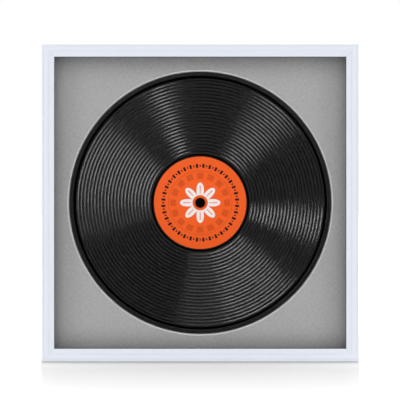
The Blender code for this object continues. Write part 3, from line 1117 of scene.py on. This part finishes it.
vinyl = pressed_vinyl()
record_mesh = turned_mesh("grooved_record", record_section(), record_segments, vinyl, sharp=8)
show("grooved_record", moved(record_mesh, at_centre(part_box("record")[0].y)), vinyl, "record",
     "black_vinyl", "record")

paper = printed_label()
for name in ("label_front", "label_back"):
    mesh = turned_mesh("printed_" + name, label_section(), 2 * round_segments, paper, sharp=50)
    show("printed_" + name, moved(mesh, at_centre(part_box(name)[0].y)), paper, "record",
         "label_paper", name)

stud_low, stud_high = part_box("centre_stud")
black_plastic = moulded("black moulded plastic", (0.0006, 0.0006, 0.0007),
                        (0.0016, 0.0016, 0.0018), rough=0.35, shine=0.1)
stud = turned_mesh("domed_stud", stud_section(stud_high.y - stud_low.y), round_segments,
                   black_plastic, sharp=40)
show("domed_stud", moved(stud, at_centre(stud_low.y)), black_plastic, "frame", "black_plastic",
     "centre_stud")


# Rear fittings

zinc = zinc_plate()


def cross_recess():
    """The form of a screwdriver's cross: two crossed wedges above the screw's head."""
    half = recess_width / 2
    foot = recess_foot_share * recess_reach
    top, bottom = screw_head_height + recess_width, screw_head_height - recess_depth
    shape = [(-recess_reach, top), (-foot, bottom), (foot, bottom), (recess_reach, top)]
    bm = bmesh.new()
    for turn in (0, 90):
        turned = Matrix.Rotation(math.radians(turn), 3, "Y")
        near, far = ([bm.verts.new(turned @ Vector((x, y, across))) for x, y in shape]
                     for across in (-half, half))
        for face in (near, far):
            bm.faces.new(face)
        add_wall(bm, near, far)
    return mesh_of(bm, "cross_recess")


def recessed_screw():
    """A pan-headed screw with a cross recess, its head towards +Y from the origin."""
    section = [(0, -screw_stub), (screw_shank_radius, -screw_stub), (screw_shank_radius, 0)]
    section.append((screw_head_radius, 0))
    section += arc(screw_head_radius - screw_dome_radius, screw_head_height - screw_dome_radius,
                   screw_dome_radius, 0, screw_dome_turn, corner_steps)
    section.append((0, screw_head_height))
    screw = turned_mesh("screw_form", section, screw_segments, zinc)
    return carved(screw, cross_recess(), crossing=True)


def make_fastening():
    """Geometry nodes that set one screw on every point, each turned by chance from a fixed seed."""
    inputs = {"Places": "Geometry", "Screw": "Object", "Seed": "Int", "Finish": "Material"}
    tree, given = new_tree("Geometry", "screws on their places", inputs)
    form = result(tree, "GeometryNodeObjectInfo", {"Object": given["Screw"]}, "Geometry")
    turn = result(tree, "FunctionNodeRandomValue", {1: (0, 2 * math.pi, 0), "Seed": given["Seed"]},
                  data_type="FLOAT_VECTOR")
    spin = result(tree, "FunctionNodeEulerToRotation", {0: turn})
    each = result(tree, "GeometryNodeInstanceOnPoints",
                  {"Points": given["Places"], "Instance": form, "Rotation": spin})
    return plain_tree(tree, each, given["Finish"])


def screws_mesh(names):
    """One mesh of the screws that some nodes stand for, each on its seat."""
    seats = []
    for name in names:
        low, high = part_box(name)
        seats.append(((low.x + high.x) / 2, high.y - screw_head_height, (low.z + high.z) / 2))
    points = bpy.data.meshes.new("screw_seats")
    points.from_pydata(seats, [], [])
    screw = host("screw_form", recessed_screw())
    mesh = grown(host("screw_seats", points), make_fastening(), screw=screw, seed=screw_seed,
                 finish=zinc)
    bpy.data.objects.remove(screw)
    return mesh


screw_names = sorted(name for name in nodes if name.startswith(("button_screw_", "hanger_screw_")))
show("rear_screws", screws_mesh(screw_names), zinc, "frame", "zinc_steel", *screw_names)


def dimple_form():
    """The round-ended form that presses the dimple: rings that narrow as they sink."""
    bm = bmesh.new()
    levels = []
    for share, sunk in dimple_rings:
        half_width = dimple_half_width * share
        half_length = dimple_half_length * (1 - dimple_taper + dimple_taper * share)
        depth = button_thickness - sunk * dimple_depth
        levels.append([bm.verts.new((x * half_width, depth, dimple_middle + z * half_length))
                       for x, z in round_hole(1)])
    for outer, inner in zip(levels, levels[1:]):
        add_wall(bm, outer, inner)
    for end in (levels[-1], levels[0]):
        bm.faces.new(end)
    return mesh_of(bm, "dimple_form")


def button_mesh():
    """A pressed turn button: a round root on its screw, a small round tip and a long dimple."""
    lean = math.degrees(math.asin((button_root_radius - button_tip_radius) / button_length))
    outline = arc(0, button_length, button_tip_radius, lean, 180 - lean, end_steps // 2)
    outline += arc(0, 0, button_root_radius, 180 - lean, 360 + lean, end_steps)
    bm = bmesh.new()
    add_plate(bm, outline, 0, button_thickness, [round_hole(screw_shank_radius + fit_play)])
    soften(bm, button_edge, segments=3)
    return carved(mesh_of(bm, "pressed_button"), dimple_form())


for side, turn in side_turns.items():
    for number in ("_1", "_2"):
        name = "turn_button_" + side + number
        pivot = Vector(joints[name + "_pivot"]["pos_m"])
        place = Vector((pivot.x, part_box(name)[0].y, pivot.z))
        show("pressed_button_" + side + number, moved(button_mesh(), place, turn), zinc, name,
             "zinc_steel", name)


def ring_mesh():
    """A D ring of round wire, hanging from its bar on the X axis."""
    corner_x = ring_half_width - ring_corner_radius
    route = arc(corner_x, -ring_corner_radius, ring_corner_radius, 90, 0, corner_steps)
    route += arc(0, ring_half_width - ring_drop, ring_half_width, 0, -180, bow_steps)
    route += arc(-corner_x, -ring_corner_radius, ring_corner_radius, 180, 90, corner_steps)
    curve = bpy.data.curves.new("wire_ring", "CURVE")
    curve.dimensions = "3D"
    curve.bevel_depth = ring_wire_radius
    curve.bevel_resolution = wire_resolution
    spline = curve.splines.new("POLY")
    spline.points.add(len(route) - 1)
    for point, (x, z) in zip(spline.points, route):
        point.co = (x, 0, z, 1)
    spline.use_cyclic_u = True
    return baked(host("wire_ring", curve), sharp=50)


def strap_mesh():
    """A hanger strap about its ring's axis: a plate with a neck that curls round the ring's bar."""
    inner = ring_wire_radius + seat_gap
    shoulder_z = -strap_shoulder - strap_taper
    outline = [(neck_half_width, 0), (-neck_half_width, 0), (-neck_half_width, -strap_shoulder)]
    outline.append((-strap_half_width, shoulder_z))
    outline += arc(0, -strap_screw_drop, strap_half_width, 180, 360, end_steps)
    outline += [(strap_half_width, shoulder_z), (neck_half_width, -strap_shoulder)]
    hole = round_hole(screw_shank_radius + fit_play, up=-strap_screw_drop)
    bm = bmesh.new()
    add_plate(bm, outline, -inner - strap_thickness, -inner, [hole])
    end = [face for face in bm.faces if all(corner.co.z == 0 for corner in face.verts)]
    step = Matrix.Rotation(math.radians(-curl_turn / curl_steps), 3, "X")
    for _ in range(curl_steps):
        raised = bmesh.ops.extrude_face_region(bm, geom=end)["geom"]
        bmesh.ops.delete(bm, geom=end, context="FACES_ONLY")
        corners = [item for item in raised if isinstance(item, bmesh.types.BMVert)]
        end = [item for item in raised if isinstance(item, bmesh.types.BMFace)]
        bmesh.ops.rotate(bm, verts=corners, cent=(0, 0, 0), matrix=step)
    soften(bm, strap_edge, segments=2)
    return mesh_of(bm, "curled_strap")


for side in ("left", "right"):
    axis = Vector(joints["hanger_ring_" + side + "_pivot"]["pos_m"])
    show("curled_strap_" + side, moved(strap_mesh(), axis), zinc, "frame", "zinc_steel",
         "hanger_strap_" + side)
    show("wire_ring_" + side, moved(ring_mesh(), axis), zinc, "hanger_ring_" + side, "zinc_steel",
         "hanger_ring_" + side)


def bumper_section():
    """A bumper's section: a rounded button with a shallow well in its face."""
    well_floor = bumper_height - bumper_well_depth
    points = [(0, 0), (bumper_radius, 0)]
    points += arc(bumper_radius - bumper_edge, bumper_height - bumper_edge, bumper_edge,
                  0, 90, edge_steps)
    points.append((bumper_well_radius, bumper_height))
    points += [(bumper_well_radius - bumper_well_depth, well_floor), (0, well_floor)]
    return points


rubber = moulded("grey bumper rubber", (0.22, 0.22, 0.23), (0.30, 0.30, 0.31), rough=0.6)
for side in ("left", "right"):
    low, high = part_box("wall_bumper_" + side)
    mesh = turned_mesh("moulded_bumper_" + side, bumper_section(), bumper_segments, rubber)
    place = Vector(((low.x + high.x) / 2, low.y, (low.z + high.z) / 2))
    show("moulded_bumper_" + side, moved(mesh, place), rubber, "frame", "bumper_rubber",
         "wall_bumper_" + side)


# Finishes of the CAD nodes that stay

white_board = card("white mount board", (0.70, 0.70, 0.67), (0.80, 0.80, 0.78),
                   rough=0.92, fineness=1100.0)
fibreboard = card("brown fibreboard", (0.25, 0.145, 0.075), (0.44, 0.285, 0.165),
                  rough=0.78, fineness=420.0, relief=0.5)
dress(clear_sheet(), "glazing")
dress(charcoal, *["spacer_" + side for side in side_turns])
dress(white_board, "support_board")
dress(corrugated_board(), "packing_board")
dress(fibreboard, "back_board")
dress(zinc, "stud_clip", *[name for name in nodes if name.startswith("corner_nail_")])


# Floor, air and lamps

def floor_finish():
    """White to the camera, with a painted shadow as wide as the object in the front view."""
    material, place = new_material("white floor")
    tree = material.node_tree
    paths = light_paths(tree)
    seen = paths["Is Camera Ray"]
    x, y, _ = split(place)
    # how far a place is ahead of the object, behind it, and across as the front view shows it
    ahead = front_y - y
    behind = y - rear_y
    across = abs(x * (camera_distance / (camera_distance - ahead)))
    inside = remap(across, half_side - shade_edge, half_side + shade_edge, 1.0, 0.0)
    # painted shadow: contact and spread darken the floor's colour to the camera, within the
    # object's width
    contact = remap(largest(ahead, behind), *contact_reach, contact_shade, 0.0, smooth=True)
    spread = (remap(ahead, *spread_rise, 0.0, spread_shade, smooth=True)
              * remap(ahead, *spread_fall, 1.0, 0.0, smooth=True))
    white = mix(inside * (contact + spread), grey(floor_white), grey(0.0))
    quiet = mix(paths["Is Glossy Ray"], grey(floor_grey), grey(floor_dark))
    plain = result(tree, "ShaderNodeBsdfDiffuse", {"Color": mix(seen, quiet, white)})
    # painted light: beside the object's width the floor glows to the camera, so its real shadow
    # there turns white
    beside_width = largest(ahead, 0.0) * beside_growth + beside_start
    beside = remap((across - half_side) / beside_width, 0.0, 1.0) * remap(ahead, -beside_fade, 0.0)
    away = result(tree, "ShaderNodeVectorMath", {0: place}, "Value", operation="LENGTH")
    glow_share = largest(remap(away, *floor_fade, smooth=True), beside * beside_share)
    shown = seen * (glow_share * glow_gain + least_glow)
    near = remap(ahead, 0.0, near_bounce_reach, near_bounce, 0.0, smooth=True)
    strength = shown + paths["Is Diffuse Ray"] * (near + bounce_level)
    glow = result(tree, "ShaderNodeEmission", {"Color": grey(1.0), "Strength": strength})
    lit = result(tree, "ShaderNodeAddShader", {0: plain, 1: glow})
    sheen = result(tree, "ShaderNodeBsdfGlossy", {"Roughness": floor_gloss})
    return surfaced(material, seen * floor_sheen, lit, sheen)


def floor():
    """A wide plain floor."""
    bm = bmesh.new()
    bmesh.ops.create_circle(bm, cap_ends=True, segments=floor_segments, radius=floor_radius)
    piece = host("studio_floor", mesh_of(bm, "studio_floor"))
    piece.data.materials.append(floor_finish())


def air():
    """White air to the camera, in clear things and in gloss, with quieter air before the front."""
    world = bpy.data.worlds.new("studio air")
    bpy.context.scene.world = world
    world.use_nodes = True
    world.cycles.sampling_method = "NONE"
    tree = world.node_tree
    paths = light_paths(tree)
    ahead = split(result(tree, "ShaderNodeTexCoord", output="Generated"))[1]
    before = remap(ahead, *ahead_cone, ahead_level, flank_level, smooth=True)
    gloss_level = largest(before, remap(ahead, *flank_cone, smooth=True))
    seen = largest(paths["Is Camera Ray"], paths["Is Transmission Ray"])
    level = seen * (1.0 - soft_level) + soft_level
    background = tree.nodes["Background"].inputs
    fill(background["Color"], grey(1.0))
    fill(background["Strength"], level + paths["Is Glossy Ray"] * (gloss_level - soft_level))


def lamp(name, direction, distance, width, depth, radiance):
    """An oval lamp that faces the object from a direction."""
    toward = Vector(direction).normalized()
    data = bpy.data.lights.new(name, "AREA")
    data.shape = "ELLIPSE"
    data.size = width
    data.size_y = depth
    data.energy = radiance * math.pi * math.pi * width * depth / 4
    piece = host(name, data)
    sideways = Vector((-toward.z, 0, toward.x)).normalized()
    turn = Matrix((sideways, toward.cross(sideways), toward)).transposed().to_4x4()
    piece.matrix_world = Matrix.Translation(centre + toward * distance) @ turn
    piece.visible_camera = False
    return piece


def front_lamp(name, around, off_axis, half_spread, distance, radiance):
    """A lamp before the front, from its angles in degrees."""
    around, off_axis = math.radians(around), math.radians(off_axis)
    reach = math.sin(off_axis)
    direction = (reach * math.cos(around), -math.cos(off_axis), reach * math.sin(around))
    width = 2 * distance * math.tan(math.radians(half_spread) * reach)
    depth = 2 * distance * math.tan(math.radians(half_depth))
    return lamp(name, direction, distance, width, depth, radiance)


floor()
air()
for name, (around, off_axis, half_spread, distance) in soft_lamps.items():
    soft = front_lamp(name, around, off_axis, half_spread, distance, soft_radiance)
    soft.visible_glossy = False
for name, (around, off_axis, half_spread, share) in gleam_lamps.items():
    gleam = front_lamp(name, around, off_axis, half_spread, gleam_distance, gleam_radiance * share)
    gleam.visible_diffuse = False
for name, values in rear_lamps.items():
    lamp(name, *values)
